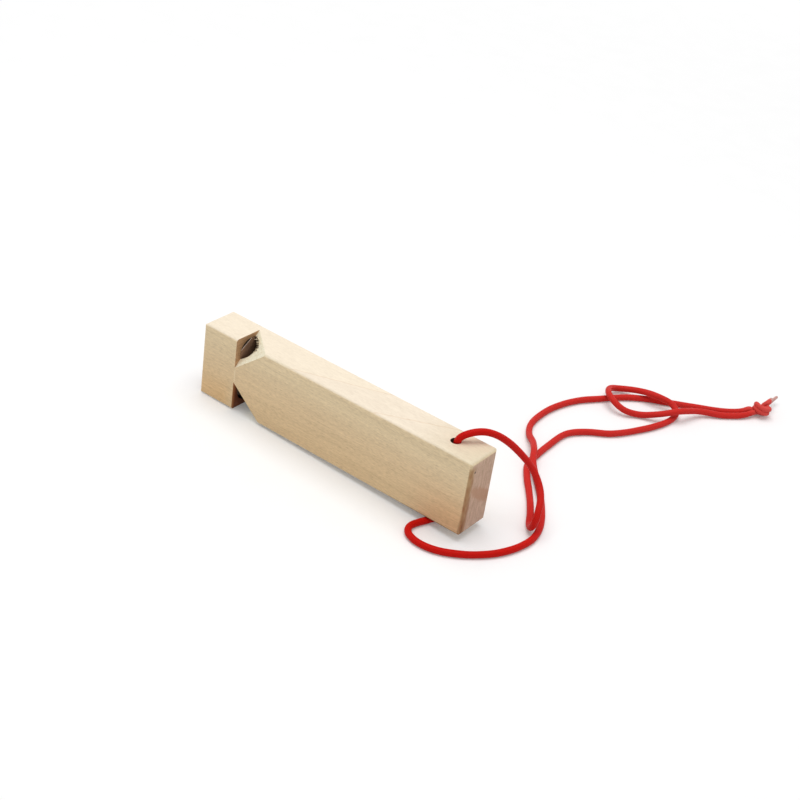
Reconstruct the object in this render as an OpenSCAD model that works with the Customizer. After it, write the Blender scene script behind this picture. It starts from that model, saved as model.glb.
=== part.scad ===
// Wooden train whistle on a neck cord: a drilled block with two sound windows, two fipple plugs
// and one closed loop of cord through its far end. Millimetres. The whistle stands on a narrow
// face with its far end on its own cord, the mouth end towards -X and the windows towards -Y.

/* [Block] */
// Length from the mouth end to the cord end
block_length = 130; // [115:1:160]
// Height of the broad faces
block_height = 31.5; // [30:0.5:38]
// Thickness between the two broad faces
block_thickness = 16.5; // [16:0.5:22]
// Rounding of the four long edges
edge_round = 1.3; // [0.4:0.1:1.5]
// Rounding of the edges round both ends
end_round = 1.8; // [0.6:0.1:2]

/* [Sound windows] */
// Distance from the mouth end to the upright wall of the windows
mouth_length = 17.5; // [14:0.5:24]
// How far a window runs in from the long edge on the broad face
window_down = 12.5; // [11:0.5:13.5]
// How far a window runs in from the long edge on the narrow face
window_across = 13; // [11.5:0.5:15]
// How far a window runs along the long edge
window_ramp = 15; // [12:0.5:20]

/* [Sound chambers] */
// Diameter of the two bores
bore_d = 11; // [9:0.5:12]
// Distance from a narrow face to the axis of the bore beside it
bore_inset = 7.4; // [7:0.1:8.5]
// Depth of the upper bore from the mouth end
upper_depth = 105; // [70:1:108]
// Depth of the lower bore from the mouth end
lower_depth = 85; // [60:1:108]

/* [Fipple plugs] */
// Height of the windway over the flat of a plug
windway_height = 1.1; // [0.8:0.1:2]
// Turn of the plugs' flats from level towards the windows
plug_turn = 33; // [20:1:45]
// Difference between the bore's and the plug's diameter
plug_clearance = 0.1; // [0.05:0.05:0.3]

/* [Cord] */
// Diameter of the cord
cord_d = 2.7; // [1.5:0.1:3]
// Diameter of the cord hole
cord_hole_d = 4; // [3.6:0.1:6]
// Distance from the far end to the axis of the cord hole
cord_hole_inset = 13.2; // [9:0.1:18]
// Gap left between the cord and what it bears on
cord_gap = 0.15; // [0.1:0.05:0.3]
// Direction in which the cord leaves from under the block, from square to the broad face
cord_slew = 19; // [0:1:30]
// Diameter to which the cord is drawn in by its knot
knot_cord_d = 1.9; // [1.4:0.1:1.9]
// Middle radius of the knot's two turns
knot_ring = 2.25; // [2.25:0.05:3]
// How far the two turns weave in and out of that radius
knot_weave = 1.05; // [1.05:0.05:1.2]
// Half of the rise of the turns over each other
knot_rise = 1.9; // [1.4:0.1:2.4]
// Length of the longer tail past the knot
long_tail = 11; // [6:1:25]
// Length of the shorter tail past the knot
short_tail = 4; // [3:1:12]

/* [Hidden] */

$fn = 48;
cord_sides = 8;
knot_rings = 36;
wood = "BurlyWood";
plug_wood = "Peru";
cord_red = "Crimson";

// Where the bores, the hole and the cord in it run, measured from the mouth end's lower edge
upper_axis = block_height - bore_inset;
lower_axis = bore_inset;
hole_at = block_length - cord_hole_inset;
cord_at = hole_at + (cord_hole_d - cord_d) / 2 - cord_gap;
// The block leans on the cord that runs out under it
lean = asin((cord_d + cord_gap) / cord_at);
half_span = (block_length * cos(lean) - block_height * sin(lean)) / 2;
settle = end_round * (sin(lean) + cos(lean) - 1);

// Places on the standing block
function seated(p) = [p[0] * cos(lean) - p[2] * sin(lean) - half_span, p[1],
                      p[0] * sin(lean) + p[2] * cos(lean) - settle];
hole_top = seated([cord_at, 0, block_height]);
hole_bottom = seated([cord_at, 0, 0]);

// The cord's middle when it lies on the ground
laid = cord_d / 2;
under_way = [-sin(cord_slew), -cos(cord_slew), 0];
under_length = (block_thickness / 2 + cord_d / 4) / cos(cord_slew);
under_start = [hole_bottom[0], 0, laid];
under_end = under_start + under_length * under_way;

// The upper strand: x from the hole's lower end, y, and z over the block's top
upper_rise = [[-0.74, 0.05, 1], [0.9, 1.5, 3.1], [4.9, 6.3, 4.6], [9, 12, 2.3]];
// The rest of the upper strand: x from the hole's lower end, y, and z over the ground
upper_lay = [[13.4, 18.7, 30.4], [19.2, 24.4, 21.7], [23.2, 24.4, 16.6], [26.4, 21.8, 13.7],
             [28.5, 18, 10.8], [29.1, 16.2, 7], [27.6, 17.2, 3.1], [24.9, 20.6, laid],
             [20.7, 27.7, laid], [14.1, 36.9, laid], [7.1, 45.7, laid], [2.5, 53, laid],
             [1.2, 62.4, laid], [0.5, 73, laid], [0.8, 84.6, laid], [5.5, 92.4, laid],
             [13.3, 99.8, laid], [19.8, 111.9, laid], [24, 123.6, laid], [25.1, 131.4, 1.4],
             [24.1, 136.3, 2.3], [20.4, 138.2, 3.7], [15.2, 136.6, 5], [9, 135.3, 5],
             [2.6, 135.3, 3.1], [-3, 132.9, 2], [-4.3, 126.2, 3.9], [1.2, 118.5, 5.1],
             [8, 117.9, 3], [13.6, 122.3, 1.5], [20.5, 126, 3.6], [26.5, 132.5, 5.4],
             [31.2, 144.5, 2.8], [39.1, 152.7, laid], [44.8, 159.6, 1.6], [47.1, 163.8, 2.4]];
// The lower strand, from the block's foot: x from the hole's lower end, y, and z over the ground
lower_lay = [[-4.1, -11.6, laid], [-4.6, -15.2, laid], [-2.6, -18.6, laid], [3.4, -20.4, laid],
             [10.6, -18.9, laid], [19.5, -12.6, laid], [26.6, -3.3, laid], [30.1, 6.2, laid],
             [30.8, 14.6, laid], [28.7, 22.3, laid], [23.4, 31.5, laid], [16.8, 40.3, laid],
             [10.1, 47.5, 2], [4.8, 52.5, 4], [1, 58.7, 4.9], [-3.7, 65.6, 3.3], [-9.1, 71.5, 1.6],
             [-12.7, 77.8, laid], [-14.2, 86.8, laid], [-13.7, 97.9, laid], [-10.1, 110.1, laid],
             [-4.1, 120, laid], [1.9, 129.1, laid], [8.6, 135.8, laid], [16.2, 140.9, laid],
             [24.5, 146.5, laid], [32.1, 151.6, laid], [38, 156.3, laid], [42.8, 162.1, 1.6],
             [44.6, 165.4, 2.4]];
knot_at = [48.6, 168.4];
knot_turn = -3.5;

function from_hole(p) = [hole_bottom[0] + p[0], p[1], p[2]];
upper_route = concat([hole_top + [0, 0, cord_gap]],
                     [for (p = upper_rise) from_hole([p[0], p[1], hole_top[2] + p[2]])],
                     [for (p = upper_lay) from_hole(p)]);
lower_route = concat([under_end + cord_gap * under_way], [for (p = lower_lay) from_hole(p)]);

knot_rest = knot_rise + knot_cord_d / 2;
knot_middle = from_hole([knot_at[0], knot_at[1], knot_rest]);
knot_edge = knot_ring + knot_weave + knot_cord_d / 2 + cord_gap;

// A route's direction at one of its points, and a side direction carried along it without twist
function unit(v) = v / norm(v);
function way(pts, i) =
    let (last = len(pts) - 1,
         ahead = i < last ? unit(pts[i + 1] - pts[i]) : [0, 0, 0],
         behind = i > 0 ? unit(pts[i] - pts[i - 1]) : [0, 0, 0])
    unit(ahead + behind);
function square_to(side, w) = unit(side - (side * w) * w);
function sides_from(pts, i, side) =
    i == len(pts) ? [] :
    let (s = square_to(side, way(pts, i))) concat([s], sides_from(pts, i + 1, s));
function ring(p, w, side, r) =
    [for (k = [0 : cord_sides - 1]) let (a = 360 * k / cord_sides)
        p + r * (cos(a) * side + sin(a) * cross(w, side))];

// The knot's own line, a closed overhand knot of two turns that weave three times
function knot_point(a) =
    let (r = knot_ring + knot_weave * cos(1.5 * a))
    [r * cos(a), r * sin(a), knot_rise * sin(1.5 * a)];

// Moves the block and what is in it from its own frame to where it stands
module stand() {
    translate([-half_span, 0, -settle]) rotate([0, -lean, 0]) children();
}

module rounded_rectangle(w, h, r) {
    square([w - 2 * r, h], center = true);
    square([w, h - 2 * r], center = true);
    for (x = [-1, 1], y = [-1, 1])
        translate([x * (w / 2 - r), y * (h / 2 - r)]) circle(r);
}

// The block before drilling, with its mouth end at x = 0 and its lower narrow face at z = 0
module blank() {
    translate([block_length / 2, 0, block_height / 2]) intersection() {
        rotate([90, 0, 90]) linear_extrude(block_length, center = true)
            rounded_rectangle(block_thickness, block_height, edge_round);
        rotate([90, 0, 0]) linear_extrude(block_thickness, center = true)
            rounded_rectangle(block_length, block_height, end_round);
        linear_extrude(block_height, center = true)
            rounded_rectangle(block_length, block_thickness, end_round);
    }
}

module along_x(d, length) {
    rotate([0, 90, 0]) cylinder(d = d, h = length);
}

// What a window takes off the upper long edge: everything past its wall and over its ramp
module window() {
    big = block_length;
    over = [-1 / window_ramp, -1 / window_across, 1 / window_down];
    intersection() {
        translate([mouth_length, -big, 0]) cube([big, 2 * big, 2 * big]);
        translate([mouth_length + window_ramp, -block_thickness / 2, block_height])
            rotate([0, acos(over[2] / norm(over)), atan2(over[1], over[0])])
                translate([-big, -big, 0]) cube([2 * big, 2 * big, big]);
    }
}

// Turns what is made for the upper long edge over to the lower one
module lower_side() {
    translate([0, 0, block_height]) mirror([0, 0, 1]) children();
}

module body() {
    color(wood) stand() difference() {
        blank();
        window();
        lower_side() window();
        translate([-1, 0, upper_axis]) along_x(bore_d, upper_depth + 1);
        translate([-1, 0, lower_axis]) along_x(bore_d, lower_depth + 1);
        translate([hole_at, 0, -1]) cylinder(d = cord_hole_d, h = block_height + 2);
    }
}

// A dowel with one flat, which leaves the windway between itself and the bore
module fipple_plug() {
    flat_at = bore_d / 2 - windway_height;
    translate([0, 0, upper_axis]) difference() {
        along_x(bore_d - plug_clearance, mouth_length);
        rotate([plug_turn, 0, 0])
            translate([-1, -bore_d, flat_at]) cube([mouth_length + 2, 2 * bore_d, bore_d]);
    }
}

module upper_fipple_plug() {
    color(plug_wood) stand() fipple_plug();
}

module lower_fipple_plug() {
    color(plug_wood) stand() lower_side() fipple_plug();
}

module cord_in_hole() {
    color(cord_red) stand() translate([cord_at, 0, 0]) cylinder(d = cord_d, h = block_height);
}

// The cord bends out of the hole here and the block leans on it
module cord_under_block() {
    drop = hole_bottom[2] - laid;
    color(cord_red) union() {
        stand() translate([cord_at, 0, -drop]) cylinder(d = cord_d, h = drop);
        translate(under_start) sphere(d = cord_d);
        rod(under_start, under_end, cord_d);
    }
}

module rod(from, to, d) {
    v = to - from;
    translate(from) rotate([0, acos(v[2] / norm(v)), atan2(v[1], v[0])])
        cylinder(d = d, h = norm(v));
}

// A tube along a route, closed at both ends
module strand(pts, side) {
    n = cord_sides;
    last = len(pts) - 1;
    sides = sides_from(pts, 0, side);
    rings = [for (i = [0 : last]) each ring(pts[i], way(pts, i), sides[i], cord_d / 2)];
    walls = [for (i = [0 : last - 1], k = [0 : n - 1])
        let (a = i * n + k, b = i * n + (k + 1) % n) each [[a, a + n, b], [b, a + n, b + n]]];
    near_cap = [for (k = [1 : n - 2]) [0, k, k + 1]];
    far_cap = [for (k = [1 : n - 2]) [last * n, last * n + k + 1, last * n + k]];
    polyhedron(rings, concat(walls, near_cap, far_cap));
}

module cord_upper_strand() {
    color(cord_red) strand(upper_route, [1, 0, 0]);
}

module cord_lower_strand() {
    color(cord_red) strand(lower_route, [0, 0, 1]);
}

module cord_knot() {
    n = cord_sides;
    line = [for (i = [0 : knot_rings - 1]) knot_point(720 * i / knot_rings)];
    ways = [for (i = [0 : knot_rings - 1])
        unit(line[(i + 1) % knot_rings] - line[(i + knot_rings - 1) % knot_rings])];
    rings = [for (i = [0 : knot_rings - 1])
        each ring(line[i], ways[i], square_to([0, 0, 1], ways[i]), knot_cord_d / 2)];
    walls = [for (i = [0 : knot_rings - 1], k = [0 : n - 1])
        let (j = (i + 1) % knot_rings, a = i * n + k, b = i * n + (k + 1) % n,
             c = j * n + k, d = j * n + (k + 1) % n) each [[a, c, b], [b, c, d]]];
    color(cord_red) translate(knot_middle) rotate([0, 0, knot_turn]) polyhedron(rings, walls);
}

// The two cut ends leave the knot side by side, away from the strands, the shorter one on the longer
module cord_tail_ends() {
    tail_way = unit([0.04, 1, 0.05]);
    tail_over = unit([0.27, 0, 1]);
    long_from = knot_middle + [0, knot_edge, 0];
    short_from = long_from + (knot_cord_d + cord_gap) * tail_over;
    color(cord_red) rod(long_from, long_from + long_tail * tail_way, knot_cord_d);
    color(cord_red) rod(short_from, short_from + short_tail * tail_way, knot_cord_d);
}

body();
upper_fipple_plug();
lower_fipple_plug();
cord_in_hole();
cord_under_block();
cord_upper_strand();
cord_lower_strand();
cord_knot();
cord_tail_ends();
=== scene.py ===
"""A wooden train whistle on its red neck cord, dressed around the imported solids.

Lengths are in metres, in the part's own frame: X runs from the mouth to the far end, Y from the
notched face to the back face, and Z up from the floor. Block coordinates are the same axes before
the block leans on its cord, measured from its mouth end's lowest line.

A mask is given as a pair of values: it is 0 at the first, 1 at the second and smooth between them.
Waves say how often a noise swings in a metre along x, y and z.
"""

import math
import random

import bpy
from mathutils import Matrix, Vector


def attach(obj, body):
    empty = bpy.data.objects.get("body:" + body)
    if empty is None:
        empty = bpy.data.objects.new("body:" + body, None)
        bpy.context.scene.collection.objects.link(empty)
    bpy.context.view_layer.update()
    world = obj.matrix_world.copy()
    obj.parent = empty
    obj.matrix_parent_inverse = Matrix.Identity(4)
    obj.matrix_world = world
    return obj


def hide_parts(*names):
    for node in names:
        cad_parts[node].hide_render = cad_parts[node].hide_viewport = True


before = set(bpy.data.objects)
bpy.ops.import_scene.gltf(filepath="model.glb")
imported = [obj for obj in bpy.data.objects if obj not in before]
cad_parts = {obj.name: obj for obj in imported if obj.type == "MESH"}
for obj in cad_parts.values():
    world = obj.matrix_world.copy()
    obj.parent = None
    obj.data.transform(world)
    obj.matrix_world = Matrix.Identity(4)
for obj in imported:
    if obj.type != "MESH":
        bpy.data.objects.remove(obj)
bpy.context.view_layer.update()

# Block, as the part's source has it
BLOCK_LENGTH = 0.130
BLOCK_HEIGHT = 0.0315
BLOCK_THICKNESS = 0.0165
END_ROUND = 0.0018
MOUTH_LENGTH = 0.0175
WINDOW_DOWN = 0.0125
WINDOW_ACROSS = 0.013
WINDOW_RAMP = 0.015
BORE_RADIUS = 0.0055
BORE_INSET = 0.0074
UPPER_DEPTH = 0.105
WINDWAY_HEIGHT = 0.0011
PLUG_TURN = math.radians(33)

# Cord, as the part's source has it
CORD_RADIUS = 0.00135
LAID = CORD_RADIUS
CORD_GAP = 0.00015
CORD_SLEW = math.radians(19)
HOLE_RADIUS = 0.002
HOLE_INSET = 0.0132
HOLE_AT = BLOCK_LENGTH - HOLE_INSET
CORD_AT = HOLE_AT + HOLE_RADIUS - CORD_RADIUS - CORD_GAP

# The block leans on the cord that runs out under it
LEAN = math.asin((2 * CORD_RADIUS + CORD_GAP) / CORD_AT)
HALF_SPAN = (BLOCK_LENGTH * math.cos(LEAN) - BLOCK_HEIGHT * math.sin(LEAN)) / 2
SETTLE = END_ROUND * (math.sin(LEAN) + math.cos(LEAN) - 1)
SEAT = Matrix.Translation((-HALF_SPAN, 0, -SETTLE)) @ Matrix.Rotation(-LEAN, 4, "Y")
HOLE_TOP = SEAT @ Vector((CORD_AT, 0, BLOCK_HEIGHT))
HOLE_BOTTOM = SEAT @ Vector((CORD_AT, 0, 0))
DOWN_HOLE = (HOLE_BOTTOM - HOLE_TOP).normalized()
FOOT = Vector((HOLE_BOTTOM.x, 0, LAID))
UNDER_WAY = Vector((-math.sin(CORD_SLEW), -math.cos(CORD_SLEW), 0))
UNDER_END = FOOT + UNDER_WAY * ((BLOCK_THICKNESS + CORD_RADIUS) / 2 / math.cos(CORD_SLEW))

# Where the stretch that the block holds meets the upper strand and the lower one
HELD_DEPTH = 0.008
HELD_SETBACK = 0.0045
HELD_FROM = HOLE_TOP + DOWN_HOLE * HELD_DEPTH
HELD_TO = UNDER_END - UNDER_WAY * HELD_SETBACK

# How the cord is drawn: its points' spacing, the rounding of kinks and its height, swells and all
STEP = 0.0007
EASE = 6
LARGEST_SWELL = 0.034
RESTING = CORD_RADIUS * (1 + LARGEST_SWELL)

# The knot: from the pair's line to each strand's, its points' spacing and the strands' radii
KNOT_APART = 0.00088
KNOT_STEP = 0.0004
KNOT_NECK = 0.00116
KNOT_DRAWN_IN = 0.00106

# Sharp edges of the solids, broken by this much
BLOCK_BREAK = 0.0003
PLUG_BREAK = 0.00016

# Camera, light and floor; the lens and the sensor are in millimetres
CAMERA_AT = Vector((0.28013, -0.40234, 0.3363))
CAMERA_AIM = Vector((-0.0079, 0.0517, 0))
CAMERA_ROLL = math.radians(10.2)
CAMERA_LENS = 69.2
SENSOR = 36
LAMP_AT = Vector((-0.07, 0.05, 1.3))
LAMP_AIM = Vector((0.02, 0.06, 0))
LAMP_SIZE = 1.15
LAMP_POWER = 11.4
EVEN_LIGHT = 0.54
SEEN_WHITE = 1.0
FLOOR_RADIUS = 3.0
FLOOR_SIDES = 96

# Colours, linear: one tone, or the darker and the paler tone of a surface
BROAD_FACE = ((0.65, 0.486, 0.292), (0.905, 0.693, 0.424))
# The narrow faces' paler tone is partly their own and partly painted light for the brightly lit top
NARROW_FACE = ((0.81, 0.698, 0.556), (0.93, 0.813, 0.657))
SCORED_LINE = (0.93, 0.80, 0.60)
END_GRAIN = ((0.46, 0.300, 0.202), (0.66, 0.463, 0.338))
END_EDGE = ((0.32, 0.130, 0.050), (0.46, 0.288, 0.138))
END_PATCH = (0.49, 0.275, 0.165)
RAMP_CUT = ((0.80, 0.710, 0.500), (0.97, 0.910, 0.720))
WINDOW_WALL = ((0.36, 0.190, 0.090), (0.62, 0.380, 0.205))
SHADED_WALL = ((0.160, 0.042, 0.012), (0.34, 0.130, 0.045))
# Painted shade in the sound chambers
CHAMBER_SHADE = (0.15, 0.092, 0.048)
# Near black: painted shade in the windways, chambers, cord hole, torn ramp edge and the lower plug's
# inner end, and the far end's dark speck
SPECK_AND_PAINTED_SHADE = (0.055, 0.032, 0.020)
PLUG_SIDE = ((0.40, 0.250, 0.130), (0.66, 0.470, 0.290))
PLUG_INNER_END = ((0.24, 0.125, 0.070), (0.48, 0.270, 0.165))
# Painted highlight on the upper plug's edge in its window
PLUG_EDGE_HIGHLIGHT = (0.86, 0.700, 0.580)
CORD_RED = ((0.38, 0.002, 0.001), (0.70, 0.011, 0.006))
# Painted sheen, for the far strands and the knot
CORD_SHEEN = ((0.54, 0.062, 0.050), (0.80, 0.090, 0.078))
WORN_TIP = ((0.44, 0.210, 0.175), (0.70, 0.400, 0.360))
FLOOR_WHITE = ((0.83, 0.83, 0.83), (0.86, 0.86, 0.86))

# Tints, which multiply the colour under them
MOUTH_TINT = (1.02, 1.025, 1.01)
FAR_TINT = (0.88, 0.87, 0.79)
GROWTH_TINT = (0.94, 0.89, 0.85)
# Painted light on the broad faces' upper part, and painted shade by their foot and at the ends' feet
TOP_LIGHT_TINT = (1.02, 1.07, 1.11)
FOOT_SHADE_TINT = (0.96, 0.92, 0.86)
MOUTH_FOOT_SHADE_TINT = (1.01, 0.94, 0.85)
FAR_FOOT_SHADE_TINT = (0.96, 0.85, 0.79)
# Painted contact shadow on the far end's bottom edges
CONTACT_SHADOW_TINT = (0.36, 0.30, 0.25)

# Masks that more than one surface uses: the ramps by the way they face, a drilled wall by its radius
RAMP_FACING = (-0.16, -0.46)
DRILLED_WALL = (0.00012, 0.00004)

# Places of the factor and the colours among a mix node's sockets
MIX_FACTOR = 0
MIX_FIRST = 6
MIX_SECOND = 7
MIX_RESULT = 2

# The held cord's bend at the foot of the hole: x, the way out under the block and height
FOOT_BEND = [(-0.0001, 0.0, 0.0034), (0.0, 0.0009, 0.0008), (0.0, 0.0026, 0.0)]

# The free cord's routes: x and y from the foot of the cord hole, z over the floor
UPPER_RISE = [  # z over the hole's top
    (-0.00074, 0.00005, 0.001), (0.0009, 0.0015, 0.0031), (0.0049, 0.0063, 0.0046),
    (0.009, 0.012, 0.0023),
]
UPPER_LAY = [
    (0.0134, 0.0187, 0.0304), (0.0192, 0.0244, 0.0217), (0.0232, 0.0244, 0.0166),
    (0.0264, 0.0218, 0.0137), (0.0285, 0.018, 0.0108), (0.0291, 0.0162, 0.007),
    (0.0276, 0.0172, 0.0031), (0.0249, 0.0206, LAID), (0.0207, 0.0277, LAID), (0.0141, 0.0369, LAID),
    (0.0071, 0.0457, LAID), (0.0025, 0.053, LAID), (0.0012, 0.0624, LAID), (0.0005, 0.073, LAID),
    (0.0008, 0.0846, LAID), (0.0055, 0.0924, LAID), (0.0133, 0.0998, LAID), (0.0198, 0.1119, LAID),
    (0.024, 0.1236, LAID), (0.0251, 0.1314, 0.0014), (0.0241, 0.1363, 0.0023), (0.0204, 0.1382, 0.0037),
    (0.0152, 0.1366, 0.005), (0.009, 0.1353, 0.005), (0.0026, 0.1353, 0.0031), (-0.003, 0.1329, 0.002),
    (-0.0043, 0.1262, 0.0039), (0.0012, 0.1185, 0.0051), (0.008, 0.1179, 0.003),
    (0.0136, 0.1223, 0.0015), (0.0205, 0.126, 0.0036), (0.0265, 0.1325, 0.0054),
    (0.0312, 0.1445, 0.0028), (0.0391, 0.1527, LAID), (0.0448, 0.1596, 0.0016),
    (0.0471, 0.1638, 0.0024),
]
LOWER_LAY = [
    (-0.0041, -0.0116, LAID), (-0.0046, -0.0152, LAID), (-0.0026, -0.0186, LAID),
    (0.0034, -0.0204, LAID), (0.0106, -0.0189, LAID), (0.0195, -0.0126, LAID), (0.0266, -0.0033, LAID),
    (0.0301, 0.0062, LAID), (0.0308, 0.0146, LAID), (0.0287, 0.0223, LAID), (0.0234, 0.0315, LAID),
    (0.0168, 0.0403, LAID), (0.0101, 0.0475, 0.002), (0.0048, 0.0525, 0.004), (0.001, 0.0587, 0.0049),
    (-0.0037, 0.0656, 0.0033), (-0.0091, 0.0715, 0.0016), (-0.0127, 0.0778, LAID),
    (-0.0142, 0.0868, LAID), (-0.0137, 0.0979, LAID), (-0.0101, 0.1101, LAID), (-0.0041, 0.12, LAID),
    (0.0019, 0.1291, LAID), (0.0086, 0.1358, LAID), (0.0162, 0.1409, LAID), (0.0245, 0.1465, LAID),
    (0.0321, 0.1516, LAID), (0.038, 0.1563, LAID), (0.0428, 0.1621, 0.0016), (0.0446, 0.1654, 0.0024),
]
KNOT_AT = (0.0486, 0.1684, 0.00285)

# The knot's line for both strands together: along its neck, to the left of it and up, from its middle
KNOT_WAY = Vector((0.55, 0.835, 0))
KNOT_LINE = [
    (-0.0036, 0.0001, -0.0007), (-0.0008, 0.0001, -0.0007), (0.0016, -0.0001, -0.0003),
    (0.0025, -0.0014, 0.0003), (0.0015, -0.0029, 0.0007), (-0.0010, -0.0029, 0.0012),
    (-0.0026, -0.0014, 0.0018), (-0.0026, 0.0008, 0.0016), (-0.0016, 0.0020, 0.0001),
    (-0.0001, 0.0014, -0.0015), (0.0012, 0.0000, -0.0015), (0.0024, 0.0006, -0.0006),
    (0.0030, 0.0016, 0.0004),
]
# The tails, in the part's directions from the knot's middle
LONG_TAIL = [(0.0, 0.0044, 0.0), (0.0002, 0.0095, 0.0003), (0.00044, 0.0154, 0.00055)]
SHORT_TAIL = [(0.00053, 0.0043, 0.00198), (0.0007, 0.0084, 0.0022)]

# Splinters: degrees round the upper chamber, reach and thickness
LARGE_SPLINTERS = [
    (78, 0.0007, 0.00036), (86, 0.0011, 0.00042), (92, 0.0005, 0.00030), (102, 0.0010, 0.00042),
]


def from_hole(point):
    """A route's point, measured from the foot of the cord hole, in the part's frame."""
    return Vector((HOLE_BOTTOM.x + point[0], point[1], point[2]))


def make_camera():
    """The photograph's camera: a point it looks at, a roll about the line of sight and a lens."""
    forward = (CAMERA_AIM - CAMERA_AT).normalized()
    level_right = forward.cross(Vector((0, 0, 1))).normalized()
    level_up = level_right.cross(forward)
    right = level_right * math.cos(CAMERA_ROLL) + level_up * math.sin(CAMERA_ROLL)
    up = right.cross(forward)
    data = bpy.data.cameras.new("camera")
    data.lens = CAMERA_LENS
    data.sensor_width = SENSOR
    camera = bpy.data.objects.new("camera", data)
    turn = Matrix((right, up, -forward)).transposed().to_4x4()
    camera.matrix_world = Matrix.Translation(CAMERA_AT) @ turn
    bpy.context.collection.objects.link(camera)
    bpy.context.scene.camera = camera


# Node materials

class Shader:
    """The nodes of a material or a world: a call adds what it needs and returns an output socket."""

    def __init__(self, owner):
        owner.use_nodes = True
        self.owner = owner
        self.tree = owner.node_tree
        self.tree.nodes.clear()

    def add(self, kind, inputs=None, out=0, **settings):
        """One node with its settings, and with its inputs as sockets or plain values."""
        node = self.tree.nodes.new(kind)
        for name, value in settings.items():
            setattr(node, name, value)
        for key, value in (inputs or {}).items():
            if isinstance(value, bpy.types.NodeSocket):
                self.tree.links.new(value, node.inputs[key])
            else:
                node.inputs[key].default_value = value
        return node.outputs[out]

    def math(self, operation, a, b=0.0):
        return self.add("ShaderNodeMath", {0: a, 1: b}, operation=operation)

    def step(self, value, low, high):
        """0 below low, 1 above high and smooth between them. low may be the larger one."""
        inputs = {"Value": value, "From Min": low, "From Max": high}
        return self.add("ShaderNodeMapRange", inputs, interpolation_type="SMOOTHSTEP")

    def scale(self, value, low, high):
        """Takes 0..1 to low..high."""
        return self.add("ShaderNodeMapRange", {"Value": value, "To Min": low, "To Max": high})

    def times(self, first, *others):
        """The product of the values."""
        for other in others:
            first = self.math("MULTIPLY", first, other)
        return first

    def shifted(self, value, by, share):
        """The value with a share of another one added."""
        return self.math("ADD", value, self.math("MULTIPLY", by, share))

    def near(self, value, middle, inner, outer):
        """1 within inner of the middle and 0 beyond outer."""
        return self.step(self.off(value, middle), outer, inner)

    def off(self, value, middle):
        """How far a value is from the middle, on either side."""
        return self.math("ABSOLUTE", self.math("SUBTRACT", value, middle))

    def tone(self, *parts):
        """0.5 and each noise's swing about its middle, as pairs of noise and weight."""
        total = 0.5
        for noise, weight in parts:
            total = self.shifted(total, self.math("SUBTRACT", noise, 0.5), weight)
        return total

    def distance(self, *lengths):
        """The length of the diagonal over the given lengths."""
        squares = [self.math("MULTIPLY", length, length) for length in lengths]
        total = squares[0]
        for square in squares[1:]:
            total = self.math("ADD", total, square)
        return self.math("SQRT", total)

    def mix(self, factor, a, b, blend="MIX"):
        inputs = {MIX_FACTOR: factor, MIX_FIRST: colour(a), MIX_SECOND: colour(b)}
        return self.add("ShaderNodeMix", inputs, MIX_RESULT, data_type="RGBA", blend_type=blend)

    def tint(self, factor, base, by):
        """The base multiplied by a colour, as far as the factor says."""
        return self.mix(factor, base, by, "MULTIPLY")

    def noise(self, vector, waves, detail=2.0):
        return self.add("ShaderNodeTexNoise", {"Vector": vector, "Scale": waves, "Detail": detail})

    def stretched_noise(self, vector, waves, detail=2.0):
        """Noise with its own waves along each axis."""
        stretched = self.add("ShaderNodeVectorMath", {0: vector, 1: waves}, operation="MULTIPLY")
        return self.noise(stretched, 1.0, detail)

    def bump(self, height, distance, strength, normal=None):
        inputs = {"Height": height, "Distance": distance, "Strength": strength}
        if normal is not None:
            inputs["Normal"] = normal
        return self.add("ShaderNodeBump", inputs)

    def seen(self):
        """1 for what is seen, directly, mirrored or through something, and 0 for light on surfaces."""
        rays = self.add("ShaderNodeLightPath").node.outputs
        seen = rays["Is Camera Ray"]
        for ray in ("Is Glossy Ray", "Is Transmission Ray"):
            seen = self.math("MAXIMUM", seen, rays[ray])
        return seen

    def principled(self, inputs):
        return self.finish(self.add("ShaderNodeBsdfPrincipled", inputs))

    def finish(self, surface, kind="ShaderNodeOutputMaterial"):
        """Joins the surface to the output and returns the finished material or world."""
        output = self.tree.nodes.new(kind)
        self.tree.links.new(surface, output.inputs["Surface"])
        return self.owner


def new_shader(name):
    """A new material's nodes."""
    return Shader(bpy.data.materials.new(name))


def colour(value):
    """A colour of three numbers with its alpha, or a socket as it is."""
    if isinstance(value, bpy.types.NodeSocket):
        return value
    return (*value, 1.0)


class Surface:
    """Where a point of the block is, in block coordinates, and which way it faces, as sockets."""

    def __init__(self, shader):
        unseat = SEAT.inverted()
        place = shader.add("ShaderNodeTexCoord", out="Object")
        inputs = {"Vector": place, "Location": unseat.translation, "Rotation": unseat.to_euler()}
        self.point = shader.add("ShaderNodeMapping", inputs, vector_type="POINT")
        self.x, self.y, self.z = split(shader, self.point)
        facing = shader.add("ShaderNodeNewGeometry", out="Normal")
        self.to_x, self.to_y, self.to_z = split(shader, facing)


def split(shader, vector):
    """The x, y and z sockets of a vector socket."""
    outputs = shader.add("ShaderNodeSeparateXYZ", {"Vector": vector}).node.outputs
    return outputs[0], outputs[1], outputs[2]


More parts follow.
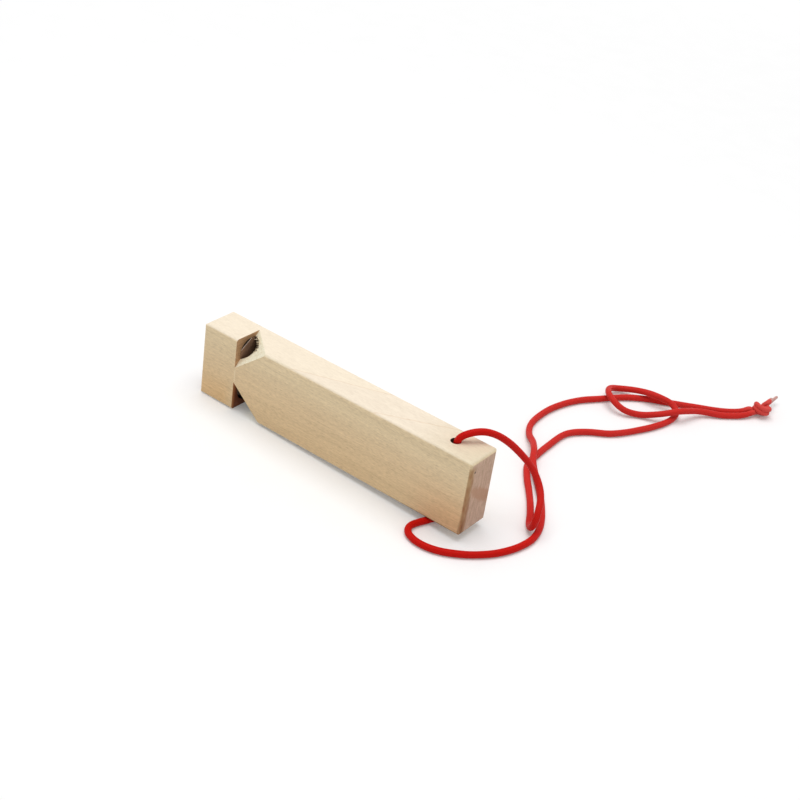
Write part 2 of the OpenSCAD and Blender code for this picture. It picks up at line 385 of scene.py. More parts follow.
def growth_rings(shader, at):
    """Thin late-wood lines: the pith runs under the block, a little out of line with it."""
    pith_depth = 0.036
    pith_side = 0.004
    pith_slope = 0.062
    ring_width = 0.0024
    wander = 0.0034
    wander_waves = (14.0, 95.0, 60.0)
    fading_waves = (30.0, 120.0, 120.0)
    darkening = (0.62, 0.95)
    ending = (1.0, 0.955)
    fading = (0.35, 0.62)
    across = shader.math("ADD", at.y, pith_side)
    up = shader.math("ADD", at.z, shader.shifted(pith_depth, at.x, pith_slope))
    out = shader.distance(across, up)
    out = shader.shifted(out, shader.stretched_noise(at.point, wander_waves), wander)
    ring = shader.math("FRACT", shader.math("DIVIDE", out, ring_width))
    shown = shader.step(shader.stretched_noise(at.point, fading_waves, detail=1.0), *fading)
    return shader.times(shader.step(ring, *darkening), shader.step(ring, *ending), shown)


def grain(shader, at):
    """The sanded wood's figure: a tone from 0, dark, to 1, pale, and a bump height."""
    band_waves = (8.0, 260.0, 260.0)
    fibre_waves = (75.0, 1500.0, 1500.0)
    fleck_waves = (560.0, 2300.0, 2300.0)
    pore_waves = (480.0, 4200.0, 4200.0)
    pore_mask = (0.60, 0.74)
    ring_depth = 0.16
    pore_depth = 0.40
    bands = shader.stretched_noise(at.point, band_waves)
    fibres = shader.stretched_noise(at.point, fibre_waves)
    flecks = shader.stretched_noise(at.point, fleck_waves)
    pores = shader.step(shader.stretched_noise(at.point, pore_waves, detail=1.0), *pore_mask)
    tone = shader.tone((bands, 0.6), (fibres, 0.6), (flecks, 1.3))
    tone = shader.shifted(tone, growth_rings(shader, at), -ring_depth)
    tone = shader.shifted(tone, pores, -pore_depth)
    return tone, shader.math("SUBTRACT", fibres, pores)


def growth_lines(shader, at, wood):
    """Two growth lines slant across each narrow face. The wood is palest on the mouth's side."""
    lines = [(0.1016, 1.90), (0.0665, 2.49)]  # place along the block and slant
    waver_waves = (60.0, 400.0, 400.0)
    waver = 0.003
    mouth_side = (0.0005, -0.0010)
    wavy_x = shader.shifted(at.x, shader.stretched_noise(at.point, waver_waves), waver)
    past_lines = []
    for place, slant in lines:
        past_lines.append(shader.math("SUBTRACT", shader.shifted(wavy_x, at.y, -slant), place))
        on_line = shader.near(past_lines[-1], 0.0, inner=0.0002, outer=0.0011)
        wood = shader.tint(on_line, wood, GROWTH_TINT)
    return shader.tint(shader.step(past_lines[-1], *mouth_side), wood, MOUTH_TINT)


def narrow_faces(shader, at, tone):
    """The narrow faces, pale partly in their own tone and partly by painted light, with their growth
    lines, deeper by the far end.
    """
    far_mask = (0.095, 0.130)
    wood = growth_lines(shader, at, shader.mix(tone, *NARROW_FACE))
    return shader.tint(shader.step(at.x, *far_mask), wood, FAR_TINT)


def broad_faces(shader, at, tone):
    """The tan broad faces, paler by the top with painted light, deeper by the foot with painted shade,
    most of all at the ends' feet.
    """
    top_light_mask = (0.016, 0.029)
    foot_shade_mask = (0.024, 0.002)
    ends = [  # masks along the block and up it, and the tint
        ((MOUTH_LENGTH, 0.012), (0.016, 0.003), MOUTH_FOOT_SHADE_TINT),
        ((0.102, 0.127), (0.020, 0.005), FAR_FOOT_SHADE_TINT),
    ]
    wood = shader.mix(tone, *BROAD_FACE)
    wood = shader.tint(shader.step(at.z, *top_light_mask), wood, TOP_LIGHT_TINT)
    wood = shader.tint(shader.step(at.z, *foot_shade_mask), wood, FOOT_SHADE_TINT)
    for along, up, by in ends:
        end_foot_shade = shader.times(shader.step(at.x, *along), shader.step(at.z, *up))
        wood = shader.tint(end_foot_shade, wood, by)
    return scored_line(shader, at, wood)


def scored_line(shader, at, wood):
    """The pale line scored on the front face, between the two windows."""
    past_wall = 0.0003
    facing_front = (-0.8, -0.95)
    strength = 0.45
    line = shader.times(
        shader.near(at.x, MOUTH_LENGTH + past_wall, inner=0.0001, outer=0.0003),
        shader.near(at.z, BLOCK_HEIGHT / 2, inner=0.0022, outer=0.0034),
        shader.step(at.to_y, *facing_front),
    )
    return shader.mix(shader.math("MULTIPLY", line, strength), wood, SCORED_LINE)


def long_faces(shader, at, tone):
    """The broad faces, and the narrow ones on the top and the bottom."""
    facing_up = (0.35, 0.9)
    narrow = shader.step(shader.math("ABSOLUTE", at.to_z), *facing_up)
    return shader.mix(narrow, broad_faces(shader, at, tone), narrow_faces(shader, at, tone))


def end_grain(shader, at, blots):
    """Streaked end grain with a warm patch, which slants across the end."""
    streak_waves = (300.0, 1100.0, 150.0)
    mottle_waves = (500.0, 640.0, 380.0)
    pore_waves = 2300.0
    patch_y = 0.0016
    patch_z = 0.0144
    patch_slant = 0.6
    patch_narrowing = 0.4
    patch_wander = 0.003
    patch_mask = (0.0052, 0.0036)
    patch_strength = 0.8
    streaks = shader.stretched_noise(at.point, streak_waves, detail=3.0)
    pores = shader.noise(at.point, pore_waves)
    mottles = shader.stretched_noise(at.point, mottle_waves)
    wood = shader.mix(shader.tone((streaks, 1.9), (pores, 1.3), (mottles, 1.2)), *END_GRAIN)
    beside = shader.math("SUBTRACT", at.y, patch_y)
    above = shader.shifted(shader.math("SUBTRACT", at.z, patch_z), beside, patch_slant)
    off_patch = shader.distance(shader.math("MULTIPLY", beside, patch_narrowing), above)
    patch = shader.step(shader.shifted(off_patch, blots, patch_wander), *patch_mask)
    return shader.mix(shader.math("MULTIPLY", patch, patch_strength), wood, END_PATCH)


def burnished_edge(shader, at, at_end, blots, base):
    """The far end's front edge, rubbed dark, and paler towards its top."""
    paler_mask = (0.008, 0.030)
    darkest = -0.2
    palest = 0.3
    ragged = 0.0024
    facing_out = (0.28, 0.72)
    front_mask = (-0.0034, -0.0056)
    top_mask = (0.0306, 0.0280)
    paler = shader.scale(shader.step(at.z, *paler_mask), darkest, palest)
    wood = shader.mix(shader.math("ADD", shader.tone((blots, 2.2)), paler), *END_EDGE)
    inwards = shader.shifted(at.y, blots, ragged)
    edge = shader.times(
        shader.step(at.to_x, *facing_out), shader.step(inwards, *front_mask),
        at_end, shader.step(at.z, *top_mask),
    )
    return shader.mix(edge, base, wood)


def dark_speck(shader, at, at_end, base):
    """A dark speck high on the far end's front edge."""
    speck_y = -0.0053
    speck_z = 0.0270
    size_mask = (0.0006, 0.0003)
    facing_out = (0.2, 0.3)
    strength = 0.9
    off_speck = shader.distance(shader.math("SUBTRACT", at.y, speck_y),
                                shader.math("SUBTRACT", at.z, speck_z))
    speck = shader.times(shader.step(off_speck, *size_mask), at_end, shader.step(at.to_x, *facing_out))
    return shader.mix(shader.math("MULTIPLY", speck, strength), base, SPECK_AND_PAINTED_SHADE)


def block_ends(shader, at, base):
    """End grain on both ends, and the far one's burnished front edge with its speck."""
    half = BLOCK_LENGTH / 2
    end_mask = (half - 0.0030, half - END_ROUND)
    facing_out = (0.88, 0.98)
    blot_waves = (600.0, 600.0, 260.0)
    at_end = shader.step(shader.off(at.x, half), *end_mask)
    blots = shader.stretched_noise(at.point, blot_waves)
    on_end = shader.times(shader.step(shader.math("ABSOLUTE", at.to_x), *facing_out), at_end)
    base = shader.mix(on_end, base, end_grain(shader, at, blots))
    base = burnished_edge(shader, at, at_end, blots, base)
    return dark_speck(shader, at, at_end, base)


def painted_contact_shadow(shader, at, base):
    """Painted contact shadow along the far end's bottom edges."""
    facing_down = (-0.08, -0.40)
    off_underside = (-0.985, -0.92)
    far_mask = (0.088, 0.114)
    contact_shadow = shader.times(shader.step(at.to_z, *facing_down), shader.step(at.to_z, *off_underside),
                         shader.step(at.x, *far_mask))
    return shader.tint(contact_shadow, base, CONTACT_SHADOW_TINT)


def window_walls(shader, at, pores, base):
    """The sawn wall of each sound window. The lower window lies in shade."""
    hair_waves = (600.0, 330.0, 2100.0)
    front_mask = (-0.0062, -0.0080)
    upper_mask = (0.0150, 0.0165)
    facing = (0.70, 0.90)
    hairs = shader.stretched_noise(at.point, hair_waves, detail=3.0)
    lit = shader.mix(shader.tone((hairs, 1.5), (pores, 0.6)), *WINDOW_WALL)
    shaded = shader.mix(shader.step(at.y, *front_mask), *SHADED_WALL)
    wood = shader.mix(shader.step(at.z, *upper_mask), shaded, lit)
    wall = shader.times(shader.step(at.to_x, *facing),
                        shader.near(at.x, MOUTH_LENGTH, inner=0.0006, outer=0.0012))
    return shader.mix(wall, base, wood)


def window_ramps(shader, at, pores, base):
    """The torn, pale ramp of each sound window."""
    torn_waves = (260.0, 1300.0, 1300.0)
    past_mouth = (0.010, 0.012)
    torn = shader.stretched_noise(at.point, torn_waves, detail=3.0)
    wood = shader.mix(shader.tone((torn, 2.2), (pores, 1.6)), *RAMP_CUT)
    ramp = shader.times(shader.step(at.to_x, *RAMP_FACING), shader.step(at.x, *past_mouth))
    return shader.mix(ramp, base, wood)


def in_hole(shader, from_axis, radius):
    """1 on the wall of a drilled hole of that radius."""
    outer, inner = DRILLED_WALL
    return shader.step(from_axis, radius + outer, radius + inner)


def chambers(shader, at, from_upper, base):
    """Painted shade in the two sound chambers, darkest beside the plugs."""
    depth_mask = (UPPER_DEPTH + 0.002, UPPER_DEPTH + 0.001)
    past_plugs = (MOUTH_LENGTH - 0.0004, MOUTH_LENGTH + 0.0004)
    from_lower = shader.distance(at.y, shader.math("SUBTRACT", at.z, BORE_INSET))
    from_axis = shader.math("MINIMUM", from_upper, from_lower)
    bored = shader.times(in_hole(shader, from_axis, BORE_RADIUS), shader.step(at.x, *depth_mask))
    wood = shader.mix(shader.step(at.x, *past_plugs), SPECK_AND_PAINTED_SHADE, CHAMBER_SHADE)
    return shader.mix(bored, base, wood)


def torn_edge_shade(shader, at, from_upper, base):
    """Painted shade behind the upper ramp's torn edge, drawn as a ragged dark gap."""
    ragged_waves = (500.0, 1700.0, 1700.0)
    ragged = 0.0013
    edge_mask = (BORE_RADIUS + 0.0001, BORE_RADIUS - 0.0001)
    top_mask = (0.0272, 0.0288)
    torn_to = shader.shifted(from_upper, shader.stretched_noise(at.point, ragged_waves), -ragged)
    torn_shade = shader.times(shader.step(torn_to, *edge_mask), shader.step(at.z, *top_mask),
                          shader.step(at.to_x, *RAMP_FACING))
    return shader.mix(torn_shade, base, SPECK_AND_PAINTED_SHADE)


def drilled_holes(shader, at, base):
    """Painted shade in the sound chambers, behind the upper one's torn edge and on the cord hole's
    wall.
    """
    from_upper = shader.distance(at.y, shader.math("SUBTRACT", at.z, BLOCK_HEIGHT - BORE_INSET))
    base = chambers(shader, at, from_upper, base)
    base = torn_edge_shade(shader, at, from_upper, base)
    # Painted shade on the cord hole's wall
    from_cord_hole = shader.distance(at.y, shader.math("SUBTRACT", at.x, HOLE_AT))
    return shader.mix(in_hole(shader, from_cord_hole, HOLE_RADIUS), base, SPECK_AND_PAINTED_SHADE)


def wood_material():
    """Pale hardwood: narrow faces light partly by painted light, tan broad ones with painted light and
    shade, pinkish end grain, torn cuts and painted shade in the cuts and holes.
    """
    window_pore_waves = 2600.0
    shader = new_shader("pale_hardwood")
    at = Surface(shader)
    tone, height = grain(shader, at)
    base = long_faces(shader, at, tone)
    base = block_ends(shader, at, base)
    base = painted_contact_shadow(shader, at, base)
    pores = shader.noise(at.point, window_pore_waves)
    base = window_walls(shader, at, pores, base)
    base = window_ramps(shader, at, pores, base)
    base = drilled_holes(shader, at, base)
    return shader.principled({
        "Base Color": base, "Roughness": shader.scale(tone, 0.62, 0.48),
        "Normal": shader.bump(height, distance=0.00007, strength=0.6), "Specular IOR Level": 0.3,
    })


def plug_wood(shader, at, fibres, pores):
    """The dowels' sides and ends. The lower one's inner end lies in deep shade."""
    facing_in = (0.6, 0.85)
    facing_out = (-0.6, -0.85)
    lower_mask = (BLOCK_HEIGHT / 2, BLOCK_HEIGHT / 2 - 0.001)
    side = shader.mix(shader.tone((fibres, 1.2)), *PLUG_SIDE)
    inner = shader.mix(shader.tone((pores, 1.2)), *PLUG_INNER_END)
    inner = shader.mix(shader.step(at.z, *lower_mask), inner, SPECK_AND_PAINTED_SHADE)
    outer = shader.mix(shader.tone((pores, 1.2)), *END_GRAIN)
    base = shader.mix(shader.step(at.to_x, *facing_in), side, inner)
    return shader.mix(shader.step(at.to_x, *facing_out), base, outer)


def plug_flat(shader, at, base):
    """Painted shade on the flat under each windway, and a painted highlight on the edge where the upper
    one meets its inner end.

    The flat leans towards the windows on both plugs, which are mirror images of each other.
    """
    middle = BLOCK_HEIGHT / 2
    flat_at = BORE_RADIUS - WINDWAY_HEIGHT
    windway_shade_mask = (flat_at - 0.00020, flat_at - 0.00005)
    edge_mask = (flat_at - 0.00035, flat_at - 0.00020)
    facing_aside = (0.5, 0.2)
    facing_in = (0.2, 0.5)
    upper_mask = (middle, middle + 0.001)
    over_axis = shader.math("SUBTRACT", shader.off(at.z, middle), middle - BORE_INSET)
    out = shader.math("MULTIPLY", over_axis, math.cos(PLUG_TURN))
    out = shader.shifted(out, at.y, -math.sin(PLUG_TURN))
    flat = shader.times(shader.step(out, *windway_shade_mask), shader.step(at.to_x, *facing_aside))
    edge = shader.times(shader.step(out, *edge_mask), shader.step(at.to_x, *facing_in),
                        shader.step(at.z, *upper_mask))
    return shader.mix(edge, shader.mix(flat, base, SPECK_AND_PAINTED_SHADE), PLUG_EDGE_HIGHLIGHT)


def plug_material():
    """Dowel wood: straight fibres, a dark inner end, painted shade on the windway flats and a painted
    highlight on the edge where the upper flat meets its inner end.
    """
    fibre_waves = (60.0, 2400.0, 2400.0)
    pore_waves = 2300.0
    shader = new_shader("dowel")
    at = Surface(shader)
    fibres = shader.stretched_noise(at.point, fibre_waves, detail=3.0)
    pores = shader.noise(at.point, pore_waves)
    base = plug_flat(shader, at, plug_wood(shader, at, fibres, pores))
    height = shader.math("ADD", fibres, pores)
    return shader.principled({
        "Base Color": base, "Roughness": 0.6, "Specular IOR Level": 0.3,
        "Normal": shader.bump(height, distance=0.00006, strength=0.5),
    })


def braid(shader, uv):
    """The sheath's bundles, which wind both ways round the cord: 1 on their crowns."""
    bundles = 8
    lay_length = 0.0056
    crown_mask = (-0.4, 1.0)
    along, around = split(shader, uv)[:2]
    turn = shader.math("MULTIPLY", around, bundles)
    travel = shader.math("DIVIDE", along, lay_length / bundles)
    crowns = []
    for sense in ("ADD", "SUBTRACT"):
        phase = shader.math("MULTIPLY", shader.math(sense, turn, travel), 2 * math.pi)
        crowns.append(shader.math("COSINE", phase))
    return shader.step(shader.math("MAXIMUM", *crowns), *crown_mask)


def cord_material():
    """Red satin cord: a fine braided sheath, brighter on its bundles' crowns, and paler further back
    and by the knot with painted sheen.
    """
    filament_waves = (900.0, 60.0, 1.0)  # in a metre along the cord and in a turn round it
    back_sheen_mask = (-0.005, 0.055)
    back_sheen_share = 0.28
    knot_sheen_mask = (0.160, 0.167)
    knot_sheen_share = 0.70
    shader = new_shader("red_satin_cord")
    uv = shader.add("ShaderNodeTexCoord", out="UV")
    crown = braid(shader, uv)
    filaments = shader.stretched_noise(uv, filament_waves)
    tone = shader.tone((crown, 0.45), (filaments, 1.1))
    back = split(shader, shader.add("ShaderNodeTexCoord", out="Object"))[1]
    # Painted sheen: paler further back and by the knot
    paler = shader.math("MULTIPLY", shader.step(back, *back_sheen_mask), back_sheen_share)
    paler = shader.shifted(paler, shader.step(back, *knot_sheen_mask), knot_sheen_share)
    base = shader.mix(paler, shader.mix(tone, *CORD_RED), shader.mix(tone, *CORD_SHEEN))
    bump = shader.bump(crown, distance=0.00005, strength=0.5)
    bump = shader.bump(filaments, distance=0.00003, strength=0.4, normal=bump)
    return shader.principled({
        "Base Color": base, "Roughness": 0.45, "Normal": bump, "Specular IOR Level": 0.06,
    })


def tip_material():
    """The cord's cut ends, worn to a dull greyish pink."""
    blot_waves = 2200.0
    shader = new_shader("worn_cord_tip")
    blots = shader.noise(shader.add("ShaderNodeTexCoord", out="Object"), blot_waves)
    base = shader.mix(blots, *WORN_TIP)
    bump = shader.bump(blots, distance=0.0001, strength=0.5)
    return shader.principled({"Base Color": base, "Roughness": 0.5, "Normal": bump})


def floor_material():
    """White paper: it takes shadow, and its bare stretches reach white for the camera."""
    lift_near = 0.12
    lift_far = 0.85
    far_mask = (0.30, 2.20)
    fleck_waves = 60.0
    shader = new_shader("white_floor")
    point = shader.add("ShaderNodeTexCoord", out="Object")
    away = shader.step(shader.distance(*split(shader, point)[:2]), *far_mask)
    lift = shader.scale(away, lift_near, lift_far)
    base = shader.mix(shader.noise(point, fleck_waves), *FLOOR_WHITE)
    paper = shader.add("ShaderNodeBsdfDiffuse", {"Color": base})
    glow = shader.add("ShaderNodeEmission", {"Strength": shader.math("MULTIPLY", shader.seen(), lift)})
    return shader.finish(shader.add("ShaderNodeAddShader", {0: paper, 1: glow}))


# Cord geometry

def smooth_line(points, step):
    """Points step apart along the centripetal Catmull-Rom curve through the given points."""
    fine = 24
    ends = [2 * points[0] - points[1], *points, 2 * points[-1] - points[-2]]
    dense = []
    for a, b, c, d in zip(ends, ends[1:], ends[2:], ends[3:]):
        t1 = (b - a).length ** 0.5
        t2 = t1 + (c - b).length ** 0.5
        t3 = t2 + (d - c).length ** 0.5
        for i in range(fine):
            t = t1 + (t2 - t1) * i / fine
            ab = a * ((t1 - t) / t1) + b * (t / t1)
            bc = b * ((t2 - t) / (t2 - t1)) + c * ((t - t1) / (t2 - t1))
            cd = c * ((t3 - t) / (t3 - t2)) + d * ((t - t2) / (t3 - t2))
            abc = ab * ((t2 - t) / t2) + bc * (t / t2)
            bcd = bc * ((t3 - t) / (t3 - t1)) + cd * ((t - t1) / (t3 - t1))
            dense.append(abc * ((t2 - t) / (t2 - t1)) + bcd * ((t - t1) / (t2 - t1)))
    dense.append(points[-1].copy())
    return spaced(dense, step)


def spaced(dense, step):
    """The same line with its points evenly apart, about step."""
    shortest = 1e-12
    lengths = [0.0]
    for a, b in zip(dense, dense[1:]):
        lengths.append(lengths[-1] + (b - a).length)
    count = max(2, round(lengths[-1] / step))
    line = []
    i = 0
    for k in range(count + 1):
        goal = lengths[-1] * k / count
        while i < len(dense) - 2 and lengths[i + 1] < goal:
            i += 1
        share = (goal - lengths[i]) / max(lengths[i + 1] - lengths[i], shortest)
        line.append(dense[i].lerp(dense[i + 1], min(share, 1.0)))
    return line


def eased(line, passes):
    """The line with its kinks rounded: each pass moves a point towards its neighbours' middle."""
    for _ in range(passes):
        inner = [(a + 2 * b + c) / 4 for a, b, c in zip(line, line[1:], line[2:])]
        line = [line[0], *inner, line[-1]]
    return line


def on_floor(line, radius):
    """The line lifted where the cord would sink into the floor."""
    return [Vector((p.x, p.y, max(p.z, radius))) for p in line]


def ways(line):
    """The direction of travel at each point."""
    last = len(line) - 1
    return [(line[min(i + 1, last)] - line[max(i - 1, 0)]).normalized() for i in range(last + 1)]


def line_length(line):
    """The length along a line of points."""
    return sum((b - a).length for a, b in zip(line, line[1:]))


class Tubes:
    """A mesh of one or more tubes, each with UV (metres along, share of the way round)."""

    SIDES = 24
    SHARP_FROM = math.radians(50)

    def __init__(self):
        self.points = []
        self.faces = []
        self.uvs = []
        self.slots = []

    def tube(self, line, radius_at, tip_from=math.inf):
        """One closed tube. radius_at(distance, angle) is its surface; past tip_from it is the tip's."""
        first = len(self.points)
        marks = self.rings(line, radius_at)
        slots = [int(mark >= tip_from) for mark in marks]
        for i in range(len(line) - 1):
            self.band(first + i * self.SIDES, marks[i], marks[i + 1], slots[i])
        self.cap(first, marks[0], True, slots[0])
        self.cap(first + (len(line) - 1) * self.SIDES, marks[-1], False, slots[-1])

    def rings(self, line, radius_at):
        """A ring of points round each point of the line. Gives the rings' distances along it."""
        side = ways(line)[0].orthogonal().normalized()
        distance = 0.0
        marks = []
        for i, (point, way) in enumerate(zip(line, ways(line))):
            if i:
                distance += (point - line[i - 1]).length
            marks.append(distance)
            side = (side - way * side.dot(way)).normalized()
            over = way.cross(side)
            for k in range(self.SIDES):
                angle = 2 * math.pi * k / self.SIDES
                reach = radius_at(distance, angle)
                self.points.append(point + (side * math.cos(angle) + over * math.sin(angle)) * reach)
        return marks

    def band(self, low, start, end, slot):
        """The faces between one ring and the next."""
        high = low + self.SIDES
        for k in range(self.SIDES):
            n = (k + 1) % self.SIDES
            self.faces.append((low + k, low + n, high + n, high + k))
            v0 = k / self.SIDES
            v1 = (k + 1) / self.SIDES
            self.uvs.append(((start, v0), (start, v1), (end, v1), (end, v0)))
            self.slots.append(slot)

    def cap(self, first, mark, backwards, slot):
        """The flat face that closes a tube at one of its ends."""
        ring = list(range(first, first + self.SIDES))
        self.faces.append(tuple(reversed(ring)) if backwards else tuple(ring))
        self.uvs.append(tuple((mark, k / self.SIDES) for k in range(self.SIDES)))
        self.slots.append(slot)

    def piece(self, name, *materials):
        """The tubes as one object. The second material, where there is one, is the tips'."""
        mesh = bpy.data.meshes.new(name)
        mesh.from_pydata(self.points, [], self.faces)
        layer = mesh.uv_layers.new(name="cord")
        corners = [uv for face in self.uvs for uv in face]
        for loop, uv in zip(layer.data, corners):
            loop.uv = uv
        for polygon, slot in zip(mesh.polygons, self.slots):
            polygon.use_smooth = True
            polygon.material_index = slot
        for material in materials:
            mesh.materials.append(material)
        mesh.set_sharp_from_angle(angle=self.SHARP_FROM)
        piece = bpy.data.objects.new(name, mesh)
        bpy.context.collection.objects.link(piece)
        return piece


def braided_radius(knot_from=math.inf):
    """The sheath's faint, slow unevenness along the cord, which the knot draws in before its end."""
    neck = 0.009
    drawn_in = 0.18
    # Each swell's share of the radius, length of a radian and phase
    swells = [(0.012, 0.0041, 0.0), (0.010, 0.0027, 1.3)]
    lobes = 3
    lobe_share = 0.012
    lobe_radian = 0.0016

    def at(distance, angle):
        swell = sum(share * math.sin(distance / radian + phase) for share, radian, phase in swells)
        lobe = lobe_share * math.cos(lobes * angle - distance / lobe_radian)
        grip = max(0.0, 1 - (knot_from - distance) / neck)
        return CORD_RADIUS * (1 + swell + lobe - drawn_in * grip)

    return at


def make_free_cords(material):
    """The two free strands, from the hole's top and from under the block to the knot."""
    straight_depth = 0.003
    rise = [from_hole(p) + Vector((0, 0, HOLE_TOP.z)) for p in UPPER_RISE]
    upper_points = [HELD_FROM, HOLE_TOP + DOWN_HOLE * straight_depth, HOLE_TOP]
    upper_points += rise + [from_hole(p) for p in UPPER_LAY]
    upper_points.append(through_knot(-KNOT_APART)[0])
    lower_points = [HELD_TO, UNDER_END] + [from_hole(p) for p in LOWER_LAY]
    lower_points.append(through_knot(KNOT_APART)[0])
    strands = [
        ("cord_upper", upper_points, HOLE_TOP, "cord_upper_strand"),
        ("cord_lower", lower_points, UNDER_END, "cord_lower_strand"),
    ]
    for name, points, way_out, node in strands:
        line = on_floor(eased(smooth_line(points, STEP), EASE), RESTING)
        tubes = Tubes()
        tubes.tube(line, braided_radius(line_length(line)))
        piece = tubes.piece(name, material)
        dress(piece, "cord", node)


def make_held_cord(material):
    """The stretch that the block holds: down the hole and round the edge under the block."""
    part_way_down = 0.6
    bend = [FOOT + UNDER_WAY * out + Vector((x, 0, z)) for x, out, z in FOOT_BEND]
    points = [HELD_FROM, HOLE_TOP.lerp(HOLE_BOTTOM, part_way_down), *bend, HELD_TO]
    tubes = Tubes()
    tubes.tube(on_floor(smooth_line(points, STEP), RESTING), braided_radius())
    piece = tubes.piece("cord_through_block", material)
    dress(piece, "cord", "cord_in_hole", "cord_under_block")


def through_knot(side):
    """One strand's way through the knot, on one side of the pair's line."""
    along = KNOT_WAY.normalized()
    left = Vector((-along.y, along.x, 0))
    middle = from_hole(KNOT_AT)
    line = [middle + along * p[0] + left * p[1] + Vector((0, 0, p[2])) for p in KNOT_LINE]
    points = []
    across = left
    for point, way in zip(line, ways(line)):
        across = (across - way * across.dot(way)).normalized()
        points.append(point + across * side)
    return points


def knotted_radius(whole, tail, tip):
    """The knot's grip thins the strand, which narrows along its tail to a rounded, cut tip."""
    grip_length = 0.009
    tip_round = 0.0007
    tip_flat = 0.00002

    def at(distance, angle):
        gripped = min(1.0, distance / grip_length)
        radius = KNOT_NECK + (KNOT_DRAWN_IN - KNOT_NECK) * gripped
        out = max(0.0, 1 - (whole - distance) / tail)
        radius += (tip - KNOT_DRAWN_IN) * out
        return radius * min(1.0, math.sqrt(max(whole - distance, tip_flat) / tip_round))

    return at


def make_knot(material, tip):
    """The overhand knot of both strands, with the long and the short tail."""
    worn_share = 0.62
    strands = [  # route, side of the pair's line, tail, its narrowing length and its tip's radius
        (UPPER_LAY, -KNOT_APART, LONG_TAIL, 0.0115, 0.00060),
        (LOWER_LAY, KNOT_APART, SHORT_TAIL, 0.0042, 0.00098),
    ]
    middle = from_hole(KNOT_AT)
    tubes = Tubes()
    for route, side, tail, tail_length, tip_radius in strands:
        points = [from_hole(p) for p in route[-2:]] + through_knot(side)
        points += [middle + Vector(p) for p in tail]
        line = on_floor(smooth_line(points, KNOT_STEP), KNOT_NECK)
        whole = line_length(line)
        radius_at = knotted_radius(whole, tail_length, tip_radius)
        tubes.tube(line, radius_at, tip_from=whole - worn_share * tail_length)
    piece = tubes.piece("cord_knot_and_tails", material, tip)
    dress(piece, "cord", "cord_knot", "cord_tail_ends")
    return piece


# Torn fibres

def labium_point(angle):
    """A point of the edge where the upper ramp meets its chamber, in block coordinates."""
    y = BORE_RADIUS * math.cos(angle)
    z = BLOCK_HEIGHT - BORE_INSET + BORE_RADIUS * math.sin(angle)
    down = BLOCK_HEIGHT - z
    across = y + BLOCK_THICKNESS / 2
    share = 1 - down / WINDOW_DOWN - across / WINDOW_ACROSS
    return Vector((MOUTH_LENGTH + WINDOW_RAMP * share, y, z))


def splinter_radius(thick, whole, turn):
    """A flat, uneven splinter with a blunt end."""
    flatness = 0.38
    unevenness = 0.16
    notch_radian = 0.00017
    past_end = 1.03
    bluntness = 0.35

    def at(distance, angle):
        flat = 1 - flatness + flatness * math.cos(2 * angle + turn)
        notch = 1 + unevenness * math.sin(distance / notch_radian + 2 * angle + turn)
        return thick * flat * notch * (past_end - distance / whole) ** bluntness

    return at


def scattered_splinters(chance):
    """Small splinters all along both edges: whether it is the lower edge, degrees, reach, thickness."""
    upper_count = 14
    lower_count = 7
    first_degree = 72
    span = 80
    splinters = []
    for lower, count in ((False, upper_count), (True, lower_count)):
        for i in range(count):
            degrees = first_degree + span * (i + chance.random()) / count
            reach = chance.uniform(0.0001, 0.0006)
            thick = chance.uniform(0.00010, 0.00024)
            splinters.append((lower, degrees, reach, thick))
    return splinters


def splinter_points(chance, degrees, reach):
    """A splinter's root in the upper ramp, its bend and its end, in block coordinates."""
    root = 0.0014
    bend = 0.0004
    most_lift = 0.00025
    most_aside = 0.0003
    most_droop = 0.0004
    up_ramp = Vector((WINDOW_RAMP, 0, WINDOW_DOWN)).normalized()
    edge = labium_point(math.radians(degrees))
    lift = Vector((0, 0, chance.uniform(0.0, most_lift)))
    aside = chance.uniform(-most_aside, most_aside)
    droop = chance.uniform(-most_droop, 0)
    end = edge + lift + Vector((-reach, aside, droop))
    return [edge + up_ramp * root, edge + up_ramp * bend + lift, end]


def make_torn_fibres(material):
    """Pale splinters that the cutter left along the edge where each ramp meets its chamber."""
    seed = 7
    step = 0.0003
    most_turn = 6.0
    chance = random.Random(seed)
    tubes = Tubes()
    splinters = scattered_splinters(chance)
    splinters += [(False, *large) for large in LARGE_SPLINTERS]
    for lower, degrees, reach, thick in splinters:
        points = splinter_points(chance, degrees, reach)
        if lower:
            points = [Vector((p.x, p.y, BLOCK_HEIGHT - p.z)) for p in points]
        line = smooth_line([SEAT @ p for p in points], step)
        turn = chance.uniform(0.0, most_turn)
        tubes.tube(line, splinter_radius(thick, line_length(line), turn))
    piece = tubes.piece("torn_fibres", material)
    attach(piece, "root")


# Dressing the solids

def dress(piece, slot, *nodes):
    """A piece that rides with the block and stands for the given solids."""
    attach(piece, "root")
    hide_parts(*nodes)


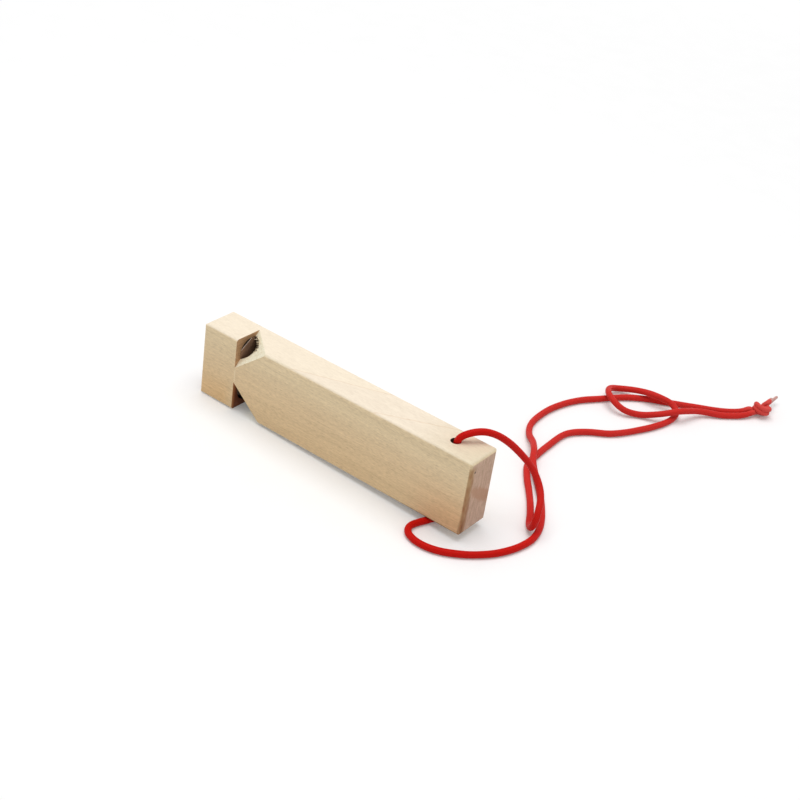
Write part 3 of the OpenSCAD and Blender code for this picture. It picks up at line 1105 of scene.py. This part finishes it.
def dress_solid(node, material, edge):
    """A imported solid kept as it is, with its own material and lightly broken sharp edges."""
    shaded_sharp_from = math.radians(35)
    broken_from = math.radians(40)
    weld_within = 0.000005
    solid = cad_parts[node]
    solid.data.materials.clear()
    solid.data.materials.append(material)
    solid.data.set_sharp_from_angle(angle=shaded_sharp_from)
    weld = solid.modifiers.new("weld", "WELD")
    weld.merge_threshold = weld_within
    bevel = solid.modifiers.new("broken_edges", "BEVEL")
    bevel.width = edge
    bevel.segments = 2
    bevel.limit_method = "ANGLE"
    bevel.angle_limit = broken_from


# Stage

def make_floor():
    """A wide round floor under the object."""
    mesh = bpy.data.meshes.new("floor")
    turns = [2 * math.pi * i / FLOOR_SIDES for i in range(FLOOR_SIDES)]
    points = [(FLOOR_RADIUS * math.cos(turn), FLOOR_RADIUS * math.sin(turn), 0) for turn in turns]
    mesh.from_pydata(points, [], [tuple(range(FLOOR_SIDES))])
    mesh.materials.append(floor_material())
    floor = bpy.data.objects.new("floor", mesh)
    bpy.context.collection.objects.link(floor)


def make_world():
    """A white surround for the camera and reflections, and a dimmer even light on the object."""
    shader = Shader(bpy.data.worlds.new("studio"))
    strength = shader.scale(shader.seen(), EVEN_LIGHT, SEEN_WHITE)
    white = shader.add("ShaderNodeBackground", {"Color": (1, 1, 1, 1), "Strength": strength})
    bpy.context.scene.world = shader.finish(white, "ShaderNodeOutputWorld")


def make_lamp(name):
    """One wide, soft lamp overhead."""
    data = bpy.data.lights.new(name, "AREA")
    data.shape = "SQUARE"
    data.size = LAMP_SIZE
    data.energy = LAMP_POWER
    lamp = bpy.data.objects.new(name, data)
    lamp.location = LAMP_AT
    lamp.rotation_euler = (LAMP_AIM - LAMP_AT).to_track_quat("-Z", "Y").to_euler()
    bpy.context.collection.objects.link(lamp)


bpy.context.scene.view_settings.view_transform = "Standard"
make_camera()
make_world()
make_lamp("overhead_softbox")
make_floor()

red_cord = cord_material()
knot = make_knot(red_cord, tip_material())
make_free_cords(red_cord)
make_held_cord(red_cord)

wood = wood_material()
dowel = plug_material()
dress_solid("body", wood, BLOCK_BREAK)
for plug in ("upper_fipple_plug", "lower_fipple_plug"):
    dress_solid(plug, dowel, PLUG_BREAK)
make_torn_fibres(wood)
